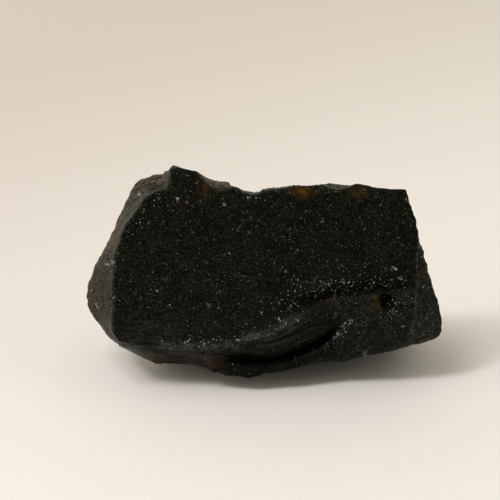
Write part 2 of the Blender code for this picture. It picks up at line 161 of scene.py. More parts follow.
# ---- The hidden sides: behind the rim the walls draw in by this much for each mm ----
DRAW_IN = ((-180.0, 0.3), (-130.0, 0.1), (-90.0, 0.0), (-50.0, 0.0), (-25.0, 0.1), (0.0, 0.3),
           (30.0, 0.3), (50.0, 0.45), (130.0, 0.45), (150.0, 0.3), (180.0, 0.3))  # (degrees, mm per mm)
RIM_CHIPS = 0.3  # the rim is jagged by up to this much
RIM_SEED = 6
RIM_STEP = 0.5  # degrees between the rim's readings
RIM_PIECES = 12  # into which each side of the outline is cut for them
EASE_BEHIND = 1.2  # the chips of the outline fade out over this depth behind the rim
EASE_TURNS = 14  # readings to each side of which the eased wall takes the mean, twice
BREAKS = (  # broken faces: a point of each, its outward direction in X, Y, Z, and how round it is hollowed
    ((2.0, 17.2, 16.0), (0.05, 0.90, 0.43), 45.0),
    ((0.0, 22.2, 5.0), (0.05, 0.99, -0.12), 80.0),
    ((-22.5, 15.5, 16.0), (-0.70, 0.68, 0.20), 90.0),
    ((-22.2, 8.0, 3.0), (-0.62, 0.35, -0.70), 60.0),
    ((22.3, 16.5, 11.0), (0.80, 0.58, 0.15), 30.0),
    ((22.0, 8.0, 1.2), (0.50, -0.10, -0.86), 60.0),
    ((14.8, 19.2, 13.0), (0.46, 0.84, 0.28), 22.0),
    ((-13.7, 19.4, 20.2), (-0.42, 0.78, 0.46), 24.0),
    ((-12.0, 21.2, 7.0), (-0.38, 0.92, 0.05), 17.0),
    ((6.0, 14.6, 22.8), (0.12, 0.80, 0.58), 16.0),
)
BREAK_ROUND = 0.4  # how softly the broken faces meet
RIPPLE_SPAN = 1.5  # distance between the first ripples of a broken face
RIPPLE_REACH = 11.0  # the ripples fade out over this distance from the blow
FLOOR = -1.5  # Z of the floor below the origin of the face frame
CLEARANCE = 2.2  # the edges of the underside are this far above the floor
BELLY = (12.0, 15.0, 6.0, 1.3)  # middle Y, half length, half width and drop of the belly between them
WAVES = (0.25, 0.45, 0.6)  # height of the underside's waves, and their radians per mm along X and Y
FEET = ((-5.0, 6.2, 3.0), (12.0, 12.0, 2.6), (-9.5, 17.0, 2.8), (12.0, 17.8, 2.6))  # X, Y and radius
FOOT_DROP = 2.4  # each foot reaches this far below the rest of the underside

# ---- Relief of the front: (u, v) paths, the groove's to the left and the others to the right ----
GROOVE = (
    (23.4, 14.6), (21.5, 14.4), (17.9, 14.2), (14.0, 13.8), (10.9, 13.5), (8.3, 12.8),
    (5.5, 11.9), (3.2, 10.8),
)
LIP = ((-22.4, 5.7), *FACE_FOOT, (2.9, 8.2), (5.5, 9.8), (8.3, 11.3))
HOLLOW = (
    (-8.0, 3.4), (-5.7, 3.1), (-1.6, 2.6), (2.1, 2.8), (5.8, 4.0), (8.3, 5.1), (10.1, 6.4),
    (11.2, 7.6), (11.9, 9.4), (12.2, 11.2),
)
GROOVE_SPAN = (0.0, 0.25, 0.75, 1.0)  # shares of its path: up over the first two, down over the last
LIP_SPAN = (0.0, 0.15, 0.85, 1.0)
HOLLOW_SPAN = (0.0, 0.2, 0.7, 1.0)
CREST_HEIGHT = 0.3  # the edge above the groove stands out by this much
LEDGE_DROP = 1.6  # the ledge under the groove lies this much deeper
CREST_FADE, LEDGE_FADE = 1.6, 2.8  # over which they fade away from the groove
DROP_WIDTH = 1.4  # over which the drop takes place
LIP_HEIGHT = 0.55  # the rolled lip stands out by this much
LIP_FADE = (1.2, 1.0)  # over which it fades above and below its path
HOLLOW_DEPTH = 2.2  # under the lip
HOLLOW_REACH = (1.0, 0.55)  # how far the hollow reaches above and below its path
HOLLOW_POWER = 1.3  # 2 is a bell, less is sharper in the middle
BULGE = (-9.0, -7.0, 6.0, 10.0)  # the bulge at the foot, in the same way, in u
SHELF = (-15.2, 29.3, 1.5)  # left of this u and above this v a broken shelf lies this much deeper
SHELF_EDGE = 0.5  # half the width of its edge
PIT = (18.9, 11.9)
PIT_RADIUS = 1.25
PIT_DEPTH = 1.6
PIT_RAGGED = ((0.10, 3.0, 1.0), (0.07, 7.0, 0.5))  # waves of its rim: share of the radius, number, start
PIT_STRETCH = 0.5  # the radius is longer by this share towards the right
PIT_LEVEL = 0.75  # share of the radius that is level, falling to none towards the right
BRUISES = (  # small chips whose crushed glass is pale: u, v, radius, depth
    (13.1, 8.8, 0.6, 0.3), (12.2, 7.9, 0.45, 0.2), (12.6, 7.2, 0.35, 0.15), (11.5, 6.8, 0.5, 0.2),
    (10.9, 6.2, 0.3, 0.1), (14.6, 7.1, 0.4, 0.2), (15.6, 3.7, 0.6, 0.35),
    (5.0, 8.8, 0.4, 0.2), (3.5, 8.1, 0.45, 0.2), (2.3, 9.1, 0.35, 0.15), (-9.4, 5.6, 0.7, 0.2),
    (-4.1, 5.7, 0.45, 0.15), (-23.2, 12.5, 0.5, 0.3), (-23.6, 18.0, 0.45, 0.25), (-24.4, 17.5, 0.5, 0.2),
    (-19.3, 28.4, 0.5, 0.2), (19.9, 17.0, 0.5, 0.25), (24.6, 14.2, 0.45, 0.2), (21.2, 8.1, 0.3, 0.2),
    (19.8, 10.6, 0.45, 0.2), (22.0, 27.6, 0.5, 0.2), (25.8, 14.1, 0.3, 0.1),
    (25.5, 15.4, 0.3, 0.1), (23.9, 20.4, 0.35, 0.1), (24.2, 18.6, 0.3, 0.1), (-16.2, 30.8, 0.3, 0.1),
    (-17.3, 30.4, 0.25, 0.1), (-16.9, 27.5, 0.3, 0.1), (-26.0, 10.9, 0.35, 0.1), (-27.0, 13.5, 0.25, 0.1),
    (-11.4, 6.6, 0.35, 0.1), (-14.6, 4.5, 0.3, 0.1), (-12.3, 5.6, 0.3, 0.1),
    (-13.4, 27.7, 0.45, 0.15), (-6.4, 26.9, 0.45, 0.15), (-26.3, 11.5, 0.35, 0.15), (-20.9, 15.8, 0.3, 0.1),
    (-16.7, 13.5, 0.35, 0.12), (-14.7, 11.2, 0.35, 0.12), (-8.5, 11.2, 0.35, 0.12), (-4.9, 11.2, 0.3, 0.1),
    (-5.4, 19.4, 0.3, 0.1), (-16.3, 28.4, 0.3, 0.1), (-11.8, 5.9, 0.35, 0.12), (3.3, 16.7, 0.3, 0.1),
)
PAINTED_SHADE_SPOTS = (  # painted shade in the pit, the hollow and the crevices: u, v, half width, half height, strength
    (18.6, 11.9, 0.9, 1.1, 1.0), (1.9, 8.4, 1.1, 0.3, 0.9), (2.9, 10.7, 1.2, 0.35, 0.8),
    (0.9, 9.9, 0.9, 0.3, 0.5), (-8.9, 3.8, 2.2, 0.3, 0.8), (-13.4, 26.3, 0.9, 0.4, 0.5),
    (20.2, 11.6, 1.4, 1.0, 0.6), (-17.5, 29.2, 0.7, 1.5, 0.8), (-16.8, 29.3, 0.7, 0.4, 0.6),
    (-16.6, 31.0, 0.8, 0.25, 0.7), (17.6, 4.6, 0.5, 0.9, 0.4), (13.2, 9.7, 0.9, 0.35, 0.3),
)
SATIN_PATCH = (-16.5, 7.6, 5.5, 2.0, 1.0)  # a smooth grey place, given in the same way
BESIDE_PIT = (20.2, 11.6, 1.6, 1.7, 1.2)  # a place where the specks crowd
AMBER_SPOTS = (  # where light comes through the thin glass, given in the same way
    (5.8, 28.9, 1.4, 0.8, 1.0), (-9.3, 29.3, 0.9, 1.2, 0.4), (14.6, 28.8, 1.4, 1.0, 0.45),
    (17.3, 12.0, 0.7, 1.2, 0.35), (-16.6, 3.0, 1.2, 0.7, 0.4), (-11.3, 3.1, 0.8, 0.6, 0.45),
    (-7.8, 2.4, 1.4, 0.8, 0.3), (2.4, 2.4, 0.8, 0.4, 0.2), (-27.0, 12.6, 0.5, 3.0, 0.45),
    (-23.0, 23.6, 0.6, 3.4, 0.45), (-17.4, 30.6, 1.5, 0.8, 0.6), (-13.4, 27.0, 1.4, 0.9, 0.10),
    (-6.7, 27.2, 0.6, 0.9, 0.15), (4.9, 5.0, 0.6, 0.4, 0.3), (10.2, 11.9, 1.2, 0.4, 0.12),
)

# ---- Relief all over ----
FRONT_FADE = (3.5, 1.0)  # the front's own relief and masks end and are full this far behind its surface
LUMPS = ((0.22, 6.5, 3), (0.12, 2.6, 5))  # broad lumps: height, spacing, seed
GRIT = ((1.0, 1.25, 7), (0.45, 0.7, 8))  # small lumps: share of the unevenness, spacing, seed
CALM = (4.0, 11)  # spacing and seed of the patches where the small lumps are lower
BUBBLES = (0.45, 1.0, 1.5)  # least and largest share of the pit radius, before this power is taken
BUBBLE_DEPTH = 0.28  # depth of a bubble pit as a share of its radius
PROBES = (6.0, 4.5, 3.4, 2.5, 1.8, 1.3, 0.9, 0.6)  # depths at which the far side of thin glass is looked for
THIN_GLASS = 1.2  # glass much thinner than this lets light through

# ---- The studio, in metres, with compass angles from the camera's side and height angles ----
LAMPS = (("key_light", 300.0, 50.0, 0.2), ("top_light", 310.0, 65.0, 0.3))  # name, angles, width
LAMP_DISTANCE = 0.9
LEFT_GLOW, RIGHT_GLOW, BACK_GLOW = (270.0, 10.0), (90.0, 20.0), (180.0, 10.0)
FLOOR_SLANT = 0.9  # the painted shade of the far floor sets in this much sooner for each metre to the left
FLOOR_BLEND = (-25.0 * MM, 180.0 * MM)  # over which it sets in, measured to the back
FLOOR_GRAIN = 0.10


def table(values, key):
    """Straight-line reading of a short table of (key, value) rows."""
    keys, results = np.array(values).T
    return np.interp(key, keys, results)


def to_world(u, v, d):
    """The face frame's u, v, d as X, Y, Z: the face is turned back about X by its lean."""
    return u, v * LEAN_SINE - d * LEAN_COSINE, v * LEAN_COSINE + d * LEAN_SINE


def to_face(x, y, z):
    """X, Y, Z as the face frame's u, v, d: the inverse turn."""
    return x, y * LEAN_SINE + z * LEAN_COSINE, z * LEAN_SINE - y * LEAN_COSINE


def larger(a, b, softness=EDGE_ROUND):
    """The larger of two fields, with the crease between them rounded off: within the softness the
    two are mixed by a straight share, plus share times one minus share."""
    share = np.clip(0.5 + 0.5 * (a - b) / softness, 0.0, 1.0)
    return b + (a - b) * share + softness * share * (1.0 - share)


def smooth_step(low, high, value):
    """0 below low, 1 above high and the S-curve 3 t squared minus 2 t cubed between."""
    t = np.clip((value - low) / (high - low), 0.0, 1.0)
    return t * t * (3.0 - 2.0 * t)


def between(value, low, risen, falling, high):
    """0 below low and above high, 1 from risen to falling, with S-curves between them."""
    return smooth_step(low, risen, value) * smooth_step(high, falling, value)


def bell(offset, width):
    """1 in the middle and fading to both sides: exp of minus the squared offset in widths."""
    return np.exp(-((offset / width) ** 2))


def spots(u, v, places):
    """Sum of bells, each exp of minus the squared distance in half widths and half heights."""
    total = np.zeros(len(u))
    for spot_u, spot_v, half_width, half_height, strength in places:
        total += strength * np.exp(-(((u - spot_u) / half_width) ** 2) - ((v - spot_v) / half_height) ** 2)
    return total


def lattice_noise(points, spacing, seed):
    """Smooth noise from -1 to 1: a hashed value at each lattice corner, blended by S-curves."""
    place = points / spacing
    corner = np.floor(place).astype(np.int64)
    part = place - corner
    part = part * part * (3.0 - 2.0 * part)
    total = np.zeros(len(points))
    for step in np.ndindex(2, 2, 2):
        cell = corner + np.array(step)
        code = (cell[:, 0] * 73856093) ^ (cell[:, 1] * 19349663) ^ (cell[:, 2] * 83492791)
        code = ((code ^ (seed * 2654435761)) * 1103515245 + 12345) & 0x7FFFFFFF
        code = (((code >> 13) ^ code) * 1597334677) & 0x7FFFFFFF
        weight = np.prod(np.where(np.array(step) == 1, part, 1.0 - part), axis=1)
        total += weight * (code / float(0x3FFFFFFF) - 1.0)
    return total


def summed_noise(points, layers):
    """Sum of lattice noises, each given by its height, spacing and seed."""
    return sum(height * lattice_noise(points, spacing, seed) for height, spacing, seed in layers)


def front_surface(u, v):
    """Depth d of the front at (u, v): the smallest of the broad face, which is a tilted plane less a
    round dish, and the straight or curved falls from its left, right, top and lower edges."""
    face = FACE_DEPTH + FACE_TILT * (FACE_MIDDLE - v) - spots(u, v, [DISH])

    def facet(ridge, outline, back, way):
        width = np.maximum(way * (table(outline, v) - table(ridge, v)), LEAST_FACET)
        return face + (table(back, v) - face) * way * (u - table(ridge, v)) / width

    right = facet(RIGHT_RIDGE, RIGHT_OUTLINE, RIGHT_BACK, 1.0)
    strip = face - STRIP_FALL * (v - table(TOP_RIDGE, u))
    fold = table(FOLD, u)
    under = np.maximum(fold - v, 0.0) / np.maximum(fold - table(LOWER_OUTLINE, u), LEAST_FOLD)
    turned = face - table(FOLD_BACK, u) * under**FOLD_POWER
    depth = facet(LEFT_RIDGE, LEFT_OUTLINE, LEFT_BACK, -1.0)
    for fall in (right, strip, turned):
        depth = -larger(-depth, -fall)
    return depth


def rim_tables():
    """The rim against the angle about the outline's hub: the outline's radius and the depth of the front
    there, and both again eased, as means over the neighbouring angles."""
    loop = np.array(OUTLINE + OUTLINE[:1])
    fractions = np.linspace(0.0, 1.0, RIM_PIECES, endpoint=False)[:, None]
    dense = np.concatenate([a + (b - a) * fractions for a, b in zip(loop[:-1], loop[1:])])
    arm_u, arm_v = (dense - np.array(OUTLINE_HUB)).T
    angle = np.radians(np.arange(-180.0, 180.0, RIM_STEP))
    radius = np.interp(angle, np.arctan2(arm_v, arm_u), np.hypot(arm_u, arm_v), period=2.0 * np.pi)
    depth = front_surface(OUTLINE_HUB[0] + radius * np.cos(angle), OUTLINE_HUB[1] + radius * np.sin(angle))
    eased = [radius, depth]
    chips = np.random.default_rng(RIM_SEED).uniform(-RIM_CHIPS, 0.0, len(radius))
    radius = radius + 0.5 * (chips + np.roll(chips, 1))
    turns = range(-EASE_TURNS, EASE_TURNS + 1)
    for _ in range(2):
        eased = [np.mean([np.roll(values, turn) for turn in turns], axis=0) for values in eased]
    return angle, radius, depth, eased[0], eased[1]


RIM_ANGLE, RIM_RADIUS, RIM_DEPTH, EASED_RADIUS, EASED_DEPTH = rim_tables()


def wall_radius(angle, d):
    """How far the side wall stands from the axis through the hub, at an angle and a depth: the outline
    itself at the rim, fading by an exponential into an eased outline that draws in behind it."""

    def read(values):
        return np.interp(angle, RIM_ANGLE, values, period=2.0 * np.pi)

    near_rim = np.exp(-np.maximum(read(RIM_DEPTH) - d, 0.0) / EASE_BEHIND)
    behind = np.maximum(read(EASED_DEPTH) - d, 0.0)
    drawn_in = read(EASED_RADIUS) - table(DRAW_IN, np.degrees(angle)) * behind
    return drawn_in + (read(RIM_RADIUS) - drawn_in) * near_rim


def break_field(point, outward, hollow, x, y, z):
    """Millimetres outside a broken face, which is the inside of a sphere: the sphere's radius less the
    distance from its centre, which stands off the face's point by that radius."""
    centre = np.array(point) + hollow * np.array(outward) / np.linalg.norm(outward)
    return hollow - np.sqrt((x - centre[0]) ** 2 + (y - centre[1]) ** 2 + (z - centre[2]) ** 2)


def underside(x, y):
    """Z of the underside: a long belly and level waves, with feet as round bells down to the floor."""
    middle, half_length, half_width, drop = BELLY
    bells = [(0.0, middle, half_length, half_width, drop)]
    bells += [(foot_x, foot_y, radius, radius, FOOT_DROP) for foot_x, foot_y, radius in FEET]
    wave_height, turn_x, turn_y = WAVES
    waves = wave_height * np.sin(turn_x * x + 1.0) * np.cos(turn_y * y)
    return np.maximum(FLOOR + CLEARANCE + waves - spots(x, y, bells), FLOOR)


def stone_field(u, v, d):
    """Millimetres outside the stone at (u, v, d): the largest of what its bounding surfaces say."""
    x, y, z = to_world(u, v, d)
    arm_u, arm_v = u - OUTLINE_HUB[0], v - OUTLINE_HUB[1]
    wall = np.hypot(arm_u, arm_v) - wall_radius(np.arctan2(arm_v, arm_u), d)
    field = larger(FRONT_SHARE * (d - front_surface(u, v)), wall)
    for point, outward, hollow in BREAKS:
        field = larger(field, break_field(point, outward, hollow, x, y, z), BREAK_ROUND)
    return larger(field, underside(x, y) - z)


def blow_out(directions):
    """Distance from the heart to the surface along each direction: walk out to the first point that is
    outside the stone, then halve the last step until it is under a micrometre."""
    heart = np.array(HEART)

    def outside(rays, reach):
        u, v, d = (heart + directions[rays] * reach[:, None]).T
        return stone_field(u, v, d) > 0.0

    near = np.full(len(directions), NEAR)
    far = np.full(len(directions), FAR)
    walking = np.arange(len(directions))
    for reach in np.arange(NEAR + 1.0, FAR, 1.0):
        met = outside(walking, np.full(len(walking), reach))
        far[walking[met]] = reach
        walking = walking[~met]
        near[walking] = reach
        if len(walking) == 0:
            break
    every = np.arange(len(directions))
    for _ in range(11):
        middle = 0.5 * (near + far)
        met = outside(every, middle)
        far = np.where(met, middle, far)
        near = np.where(met, near, middle)
    return 0.5 * (near + far)


def along_path(u, v, path):
    """For each (u, v): how far it is left of a smooth path, and how far along it, from 0 to 1. The path
    is a Catmull-Rom curve through its points, in four straight pieces between each two."""
    knots = np.array(path)
    before = np.concatenate([2.0 * knots[:1] - knots[1:2], knots, 2.0 * knots[-1:] - knots[-2:-1]])
    steps = np.linspace(0.0, 1.0, 4, endpoint=False)[:, None]
    pieces = []
    for a, b, c, e in zip(before[:-3], before[1:-2], before[2:-1], before[3:]):
        bend = (2.0 * a - 5.0 * b + 4.0 * c - e) * steps**2 + (3.0 * b - a - 3.0 * c + e) * steps**3
        pieces.append(0.5 * (2.0 * b + (c - a) * steps + bend))
    curve = np.concatenate(pieces + [knots[-1:]])
    span = curve[1:] - curve[:-1]
    length = np.linalg.norm(span, axis=1)
    start = np.concatenate([[0.0], np.cumsum(length)])
    nearest = np.full(len(u), np.inf)
    side = np.zeros(len(u))
    along = np.zeros(len(u))
    for index, (corner, run) in enumerate(zip(curve[:-1], span)):
        off_u, off_v = u - corner[0], v - corner[1]
        t = np.clip((off_u * run[0] + off_v * run[1]) / length[index] ** 2, 0.0, 1.0)
        distance = np.hypot(off_u - t * run[0], off_v - t * run[1])
        closer = distance < nearest
        nearest = np.where(closer, distance, nearest)
        left = np.where(run[0] * off_v - run[1] * off_u >= 0.0, 1.0, -1.0)
        side = np.where(closer, left * distance, side)
        along = np.where(closer, (start[index] + t * length[index]) / start[-1], along)
    return side, along


def front_relief(u, v):
    """How far the front stands out of its plain facets at (u, v): the groove across its lower right,
    the rolled lip, the hollow under it, the broken shelf beside the peak, and the pit. Each is made of
    exponentials or S-curves of the distance from its path or place."""
    side, along = along_path(u, v, GROOVE)  # its left-hand side is below it
    drop = smooth_step(-0.5 * DROP_WIDTH, 0.5 * DROP_WIDTH, side)
    crest = CREST_HEIGHT * np.exp(np.minimum(side, 0.0) / CREST_FADE)
    ledge = -LEDGE_DROP * np.exp(-np.maximum(side, 0.0) / LEDGE_FADE)
    relief = between(along, *GROOVE_SPAN) * (crest + (ledge - crest) * drop)

    side, along = along_path(u, v, LIP)  # its left-hand side is above it
    rolled = np.exp(-np.abs(side) / np.where(side > 0.0, *LIP_FADE))
    relief += between(along, *LIP_SPAN) * LIP_HEIGHT * rolled

    side, along = along_path(u, v, HOLLOW)  # its left-hand side is above it
    hollowed = np.exp(-((np.abs(side) / np.where(side > 0.0, *HOLLOW_REACH)) ** HOLLOW_POWER))
    relief -= between(along, *HOLLOW_SPAN) * HOLLOW_DEPTH * hollowed

    shelf_u, shelf_v, shelf_depth = SHELF
    to_left, above = (smooth_step(-SHELF_EDGE, SHELF_EDGE, off) for off in (shelf_u - u, v - shelf_v))
    relief -= shelf_depth * to_left * above

    off_u, off_v = u - PIT[0], v - PIT[1]
    turn = np.arctan2(off_v, off_u)
    rightness = np.where(off_u > 0.0, np.cos(turn) ** 2, 0.0)
    ragged = 1.0 + sum(share * np.sin(number * turn + start) for share, number, start in PIT_RAGGED)
    radius = PIT_RADIUS * ragged * (1.0 + PIT_STRETCH * rightness)
    level = PIT_LEVEL * (1.0 - rightness) * radius
    relief -= PIT_DEPTH * smooth_step(radius, level, np.hypot(off_u, off_v))
    return relief


def bruise_bowls(u, v):
    """The bruises' depth in millimetres and their paleness from 0 to 1, both as bells."""
    depth = spots(u, v, [(at_u, at_v, radius, radius, deep) for at_u, at_v, radius, deep in BRUISES])
    pale = spots(u, v, [(at_u, at_v, radius, radius, 1.0) for at_u, at_v, radius, _ in BRUISES])
    return depth, np.minimum(pale, 1.0)


def break_ripples(points, seed):
    """Ripples of the broken faces. Each point belongs to the face whose field is the largest there; its
    ripple is a sine of its distance from where that face was struck, wider and weaker further off."""
    x, y, z = points.T
    fields = np.stack([break_field(point, outward, hollow, x, y, z) for point, outward, hollow in BREAKS])
    owner = fields.argmax(axis=0)
    reached = smooth_step(-0.25, 0.0, fields.max(axis=0))
    rng = np.random.default_rng(seed)
    blows = np.array([point for point, _, _ in BREAKS]) + rng.uniform(-7.0, 7.0, (len(BREAKS), 3))
    distance = np.linalg.norm(points - blows[owner], axis=1)
    wave = np.sin(2.0 * np.pi * distance**0.85 / RIPPLE_SPAN)
    return reached * wave * np.exp(-distance / RIPPLE_REACH), reached


def box_skin(cuts):
    """The skin of a box with the given cuts along each side: its corners from -1 to 1, and its quads.
    Each side is a grid of two parameters, and corners with the same lattice code are one corner."""
    stride = np.array([1, cuts[0] + 1, (cuts[0] + 1) * (cuts[1] + 1)])
    sheets = []
    for axis in range(3):
        across, up = (axis + 1) % 3, (axis + 2) % 3
        first, second = np.meshgrid(np.arange(cuts[across] + 1), np.arange(cuts[up] + 1), indexing="ij")
        for level in (0, cuts[axis]):
            code = first * stride[across] + second * stride[up] + level * stride[axis]
            quads = np.stack([code[:-1, :-1], code[1:, :-1], code[1:, 1:], code[:-1, 1:]], axis=-1)
            quads = quads.reshape(-1, 4)
            sheets.append(quads if level else quads[:, ::-1])
    codes, index = np.unique(np.concatenate(sheets), return_inverse=True)
    lattice = np.stack([codes % stride[1], codes // stride[1] % (cuts[1] + 1), codes // stride[2]], axis=1)
    return 2.0 * lattice / np.array(cuts) - 1.0, index.reshape(-1, 4)


def surface_normals(points, quads):
    """Unit normals of a grid's corners: the cross products of the quads' diagonals, added up."""
    cross = np.cross(points[quads[:, 2]] - points[quads[:, 0]], points[quads[:, 3]] - points[quads[:, 1]])
    total = np.stack([np.bincount(quads.ravel(), np.repeat(cross[:, k], 4), len(points)) for k in range(3)])
    return (total / np.maximum(np.linalg.norm(total, axis=0), 1e-12)).T


def thickness(points, normals):
    """Millimetres of glass straight inwards from each point, looked for at a few depths."""
    depth = np.full(len(points), PROBES[0])
    for step in PROBES:
        outside = stone_field(*to_face(*(points - step * normals).T)) > 0.0
        depth = np.where(outside, step, depth)
    return depth


def stone_surface(shape):
    """Corners, quads and masks of the stone. Each direction from the heart through a corner of the box
    skin gives one point of the surface; relief then moves it out along that direction."""
    skin, quads = box_skin(tuple(shape.cuts))
    spread = np.tan(skin * np.pi / 4.0) * np.array(REACH)
    directions = spread / np.linalg.norm(spread, axis=1, keepdims=True)
    u, v, d = (np.array(HEART) + directions * blow_out(directions)[:, None]).T
    on_floor = to_world(u, v, d)[2] < FLOOR + FLAT_FOOT
    front = smooth_step(*FRONT_FADE, front_surface(u, v) - d)
    deep, pale = bruise_bowls(u, v)
    d = d + front * (front_relief(u, v) - deep)
    points = np.stack(to_world(u, v, d), axis=1)
    glass = thickness(points, surface_normals(points, quads))
    outward = np.stack(to_world(*directions.T), axis=1)
    ripples, broken = break_ripples(points, shape.seed)
    masks = {name: front * mask(u, v) for name, mask in FRONT_MASKS.items()}
    masks.update(thin=np.exp(-glass / THIN_GLASS), amber=front * spots(u, v, AMBER_SPOTS))
    masks.update(bruise=front * pale, broken=broken * (1.0 - front), flow=along_path(u, v, LIP)[0] * MM)
    uneven = 0.4 + 0.6 * (1.0 - front) + 0.6 * smooth_step(0.1, 0.7, lattice_noise(points, *CALM))
    uneven += 1.8 * masks["rugged"]
    lumps = summed_noise(points, LUMPS) + shape.unevenness / MM * uneven * summed_noise(points, GRIT)
    lumps += shape.ripple_height / MM * ripples * (1.0 - front)
    lumps -= small_pits(points, shape)
    points += outward * (lumps * ~on_floor)[:, None]
    points[:, 2] = np.where(on_floor, 0.0, np.maximum(points[:, 2] - FLOOR, 0.0))
    points[:, :2] -= FOOTPRINT
    return np.clip(points * MM, *CAD_BOX), quads, masks


def small_pits(points, shape):
    """Depth of round bubble pits strewn over the stone: (1 - r squared) squared inside each radius."""
    rng = np.random.default_rng(shape.seed + 1)
    centres = points[rng.choice(len(points), shape.pit_count, replace=False)]
    least, most, power = BUBBLES
    radii = shape.pit_radius / MM * rng.uniform(least, most, shape.pit_count) ** power
    depth = np.zeros(len(points))
    for centre, radius in zip(centres, radii):
        square = ((points - centre) ** 2).sum(axis=1) / radius**2
        depth = np.maximum(depth, BUBBLE_DEPTH * radius * np.maximum(1.0 - square, 0.0) ** 2)
    return depth


def rugged_mask(u, v):
    """Where the front is rugged: most of all the broken ledge beside the peak, then the lower right block,
    the strips along the top and the bulge at the foot and, less so, the right and left facets."""
    block = smooth_step(10.5, 13.0, u) * smooth_step(14.5, 12.5, v)
    strips = smooth_step(0.6, -0.2, table(TOP_RIDGE, u) - v)
    ledge = 1.6 * smooth_step(-14.8, -16.0, u) * smooth_step(28.0, 29.5, v)
    bulge = between(u, *BULGE) * smooth_step(2.8, 1.8, v)
    right = 0.8 * smooth_step(0.0, 0.6, u - table(RIGHT_RIDGE, v))
    left = 0.7 * smooth_step(0.0, 0.6, table(LEFT_RIDGE, v) - u)
    return np.maximum.reduce([block, strips, ledge, bulge, right, left])


def painted_shade_mask(u, v):
    """Where shade is painted into the front as black: the drop of the groove, the hollow, the bulge and the
    shaded spots, two of which are the pit."""
    side, along = along_path(u, v, GROOVE)
    drop = bell(side, 0.5) * between(along, 0.0, 0.1, 0.9, 1.0)
    side, along = along_path(u, v, HOLLOW)
    hollow = bell(side, np.where(side > 0.0, 1.1, 0.7)) * between(along, 0.0, 0.2, 0.8, 1.0)
    bulge = 0.8 * between(u, *BULGE) * smooth_step(3.4, 2.6, v)
    return np.minimum(np.maximum.reduce([drop, hollow, bulge, spots(u, v, PAINTED_SHADE_SPOTS)]), 1.0)


def satin_and_painted_light_mask(u, v):
    """Where the skin is a worn grey satin and where light is painted on the lit facets: the left bevel, most
    of all its top and its rim, the facet beside the peak, the strips along the top, and faintly the right
    facet and the satin patch."""
    left = smooth_step(-0.2, 0.4, table(LEFT_RIDGE, v) - u)
    beside_peak = smooth_step(-17.5, -15.5, u) * (v > 29.0)
    rim = 0.4 * smooth_step(0.8, 0.1, u - table(LEFT_OUTLINE, v))
    # Painted light: the bevel is lighter where light falls on it, more towards its top, at its rim and on
    # the facet beside the peak.
    bevel = left * (0.27 + 0.38 * smooth_step(17.0, 26.0, v) + 0.4 * beside_peak + rim)
    strips = smooth_step(0.5, -0.1, table(TOP_RIDGE, u) - v) * (u > -11.0) * (0.2 + 0.5 * (u < -4.5))
    right = smooth_step(0.0, 0.5, u - table(RIGHT_RIDGE, v)) * (0.1 + 0.15 * smooth_step(13.0, 10.0, v))
    patch = 0.06 * spots(u, v, [SATIN_PATCH])
    return np.minimum(np.maximum.reduce([bevel, strips, right, patch]), 1.0)


def wear_and_highlight_mask(u, v):
    """Where edges are worn pale and carry a painted highlight: bells about the left and right edges of the
    broad face and about the crest of the lip."""
    left = 0.3 * bell(u - table(LEFT_RIDGE, v), 0.4) * smooth_step(27.0, 24.0, v)
    right = bell(u - table(RIGHT_RIDGE, v), 0.2) * smooth_step(24.0, 20.0, v)
    side, along = along_path(u, v, LIP)
    # Painted highlight along the crest of the lip.
    lip = bell(side + 0.1, 0.6) * between(along, 0.1, 0.3, 0.8, 1.0)
    return np.maximum.reduce([left, right, lip])


def sheen_mask(u, v):
    """Where the front is smooth: the band of the lip, the foot of the lower right block and the satin
    patch."""
    side, along = along_path(u, v, LIP)
    band = between(side, -4.5, -1.5, -0.2, 0.9) * smooth_step(1.0, 0.9, along)
    lower = smooth_step(8.5, 7.0, v) * between(u, 12.0, 14.0, 22.0, 24.0)
    return np.maximum.reduce([band, 0.4 * lower, 0.45 * spots(u, v, [SATIN_PATCH])])


def sparkle_mask(u, v):
    """Where the pale specks and painted glints crowd: above the groove, above the lip, beside the pit and
    along the left edge.
    """
    side, along = along_path(u, v, GROOVE)
    groove = (bell(side + 0.4, 0.9) + 0.4 * bell(side + 2.0, 1.8)) * smooth_step(0.0, 0.1, along)
    side, along = along_path(u, v, LIP)
    lip = bell(side - 0.8, 0.9) * between(along, 0.2, 0.4, 0.8, 1.0)
    edge = bell(u - table(LEFT_RIDGE, v) - 1.5, 1.6) * between(v, 19.0, 24.0, 28.0, 29.5)
    return np.clip(groove + 0.7 * lip + spots(u, v, [BESIDE_PIT]) + 0.5 * edge, 0.0, 1.0)


FRONT_MASKS = {
    "rugged": rugged_mask, "deep": painted_shade_mask, "satin_and_painted_light": satin_and_painted_light_mask, "wear_and_highlight": wear_and_highlight_mask,
    "sheen": sheen_mask, "sparkle": sparkle_mask,
}


def new_object(name, data):
    """An object of the given data, linked to the scene."""
    holder = bpy.data.objects.new(name, data)
    bpy.context.scene.collection.objects.link(holder)
    return holder


def new_mesh(name, points, quads, material):
    """A mesh of one material from whole arrays of corners and quads."""
    mesh = bpy.data.meshes.new(name)
    mesh.vertices.add(len(points))
    mesh.vertices.foreach_set("co", np.ascontiguousarray(points, np.float32).ravel())
    mesh.loops.add(quads.size)
    mesh.loops.foreach_set("vertex_index", quads.ravel().astype(np.int32))
    mesh.polygons.add(len(quads))
    mesh.polygons.foreach_set("loop_start", np.arange(0, quads.size, 4, dtype=np.int32))
    mesh.polygons.foreach_set("use_smooth", np.ones(len(quads), bool))
    mesh.update(calc_edges=True)
    mesh.validate()
    mesh.materials.append(material)
    return mesh


